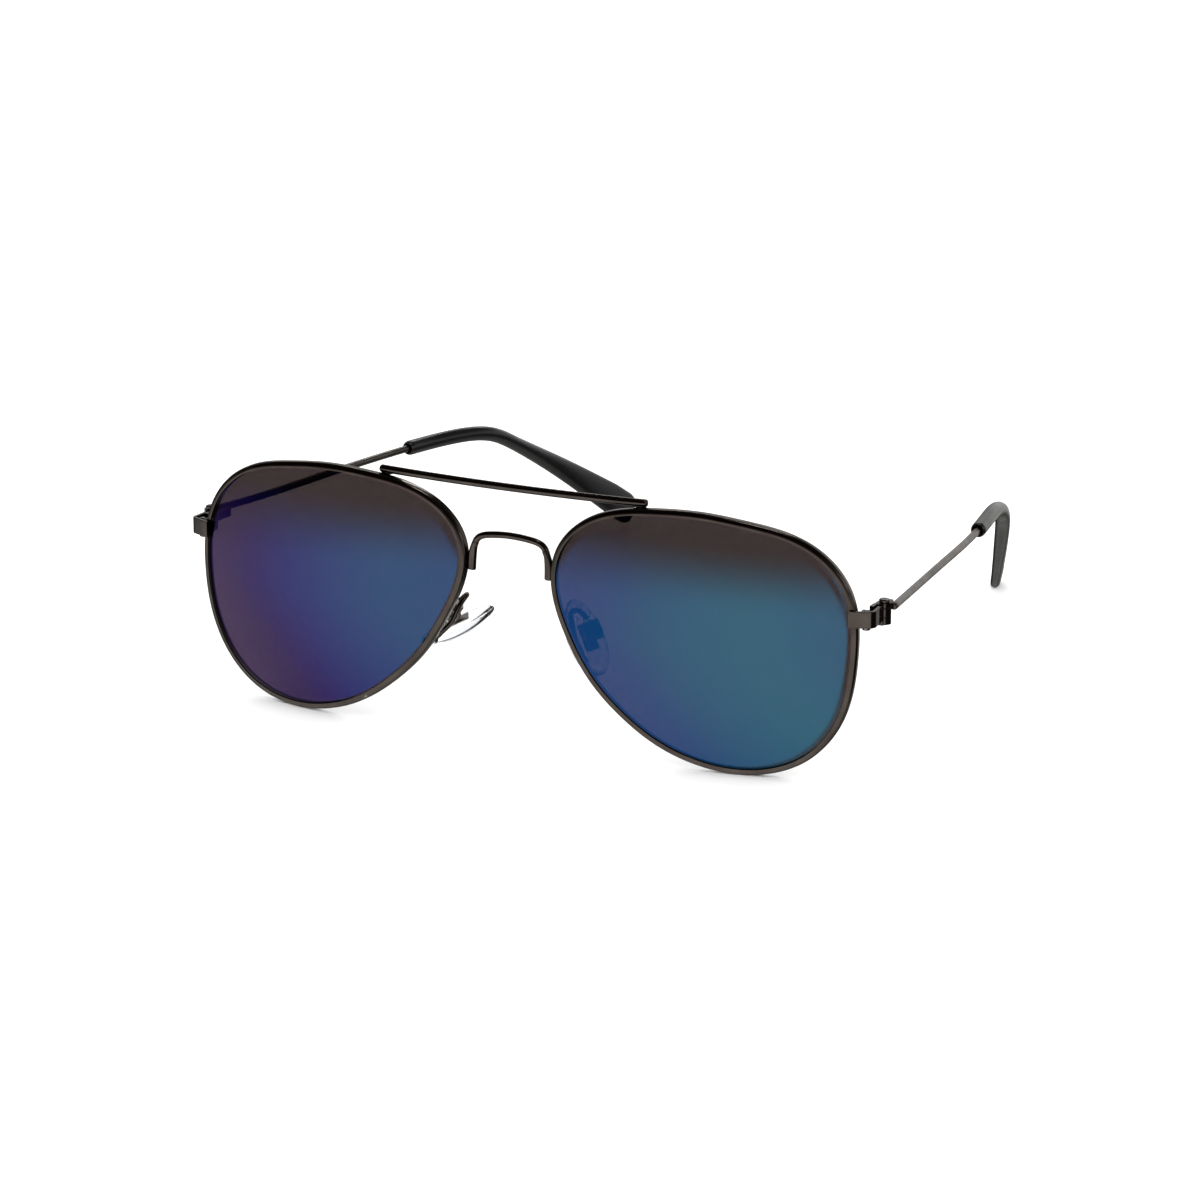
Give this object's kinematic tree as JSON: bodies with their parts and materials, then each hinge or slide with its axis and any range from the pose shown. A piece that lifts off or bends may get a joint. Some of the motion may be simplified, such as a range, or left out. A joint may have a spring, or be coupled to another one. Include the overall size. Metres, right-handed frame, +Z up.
{
  "type": "sunglasses",
  "caption": "Double-bridge aviator sunglasses: thin metal rims, mirrored teardrop lenses, adjustable nose pads and folding wire temples with moulded tips.",
  "frame": {"origin": "centre of the bounding box, at the level of the surface the sunglasses stand on", "axes": "+X to the wearer's left along the front, +Y from the lenses back along the temples, +Z up; the lenses face -Y"},
  "size_m": [0.1458, 0.1431, 0.0504],
  "materials": {
    "gunmetal": "polished dark gunmetal plating",
    "screw_steel": "turned bright steel",
    "lens_mirror": "brown tint under a blue-teal mirror coating",
    "tip_plastic": "glossy black moulded",
    "pad_clear": "clear, slightly frosted by wear"
  },
  "bodies": {
    "front": {"brow_bar": "gunmetal", "bridge": "gunmetal", "rim_left": "gunmetal", "lens_left": "lens_mirror", "end_piece_left": "gunmetal", "rim_lock_upper_left": "gunmetal", "rim_lock_lower_left": "gunmetal", "rim_lock_screw_left": "screw_steel", "hinge_front_leaf_left": "gunmetal", "hinge_screw_left": "screw_steel", "pad_arm_left": "gunmetal", "pad_box_left": "gunmetal", "pad_screw_left": "screw_steel", "rim_right": "gunmetal", "lens_right": "lens_mirror", "end_piece_right": "gunmetal", "rim_lock_upper_right": "gunmetal", "rim_lock_lower_right": "gunmetal", "rim_lock_screw_right": "screw_steel", "hinge_front_leaf_right": "gunmetal", "hinge_screw_right": "screw_steel", "pad_arm_right": "gunmetal", "pad_box_right": "gunmetal", "pad_screw_right": "screw_steel"},
    "temple_left": {"hinge_temple_leaf_left": "gunmetal", "temple_wire_left": "gunmetal", "temple_tip_left": "tip_plastic"},
    "pad_left": {"pad_core_left": "screw_steel", "nose_pad_left": "pad_clear"},
    "temple_right": {"hinge_temple_leaf_right": "gunmetal", "temple_wire_right": "gunmetal", "temple_tip_right": "tip_plastic"},
    "pad_right": {"pad_core_right": "screw_steel", "nose_pad_right": "pad_clear"}
  },
  "joints": [
    {"name": "temple_left_fold", "type": "hinge", "parent": "front", "child": "temple_left", "pos_m": [0.0709, -0.05608, 0.03195], "axis": [0, 0, 1], "range_deg": [0, 78]},
    {"name": "temple_right_fold", "type": "hinge", "parent": "front", "child": "temple_right", "pos_m": [-0.0709, -0.05608, 0.03195], "axis": [0, 0, -1], "range_deg": [0, 68]},
    {"name": "pad_left_rock", "type": "hinge", "parent": "front", "child": "pad_left", "pos_m": [0.0147, -0.06268, 0.0221], "axis": [0.4714, 0.8792, 0.0698], "range_deg": [-45, 6]},
    {"name": "pad_right_rock", "type": "hinge", "parent": "front", "child": "pad_right", "pos_m": [-0.0147, -0.06268, 0.0221], "axis": [-0.4714, 0.8792, 0.0698], "range_deg": [-39, 12]}
  ]
}
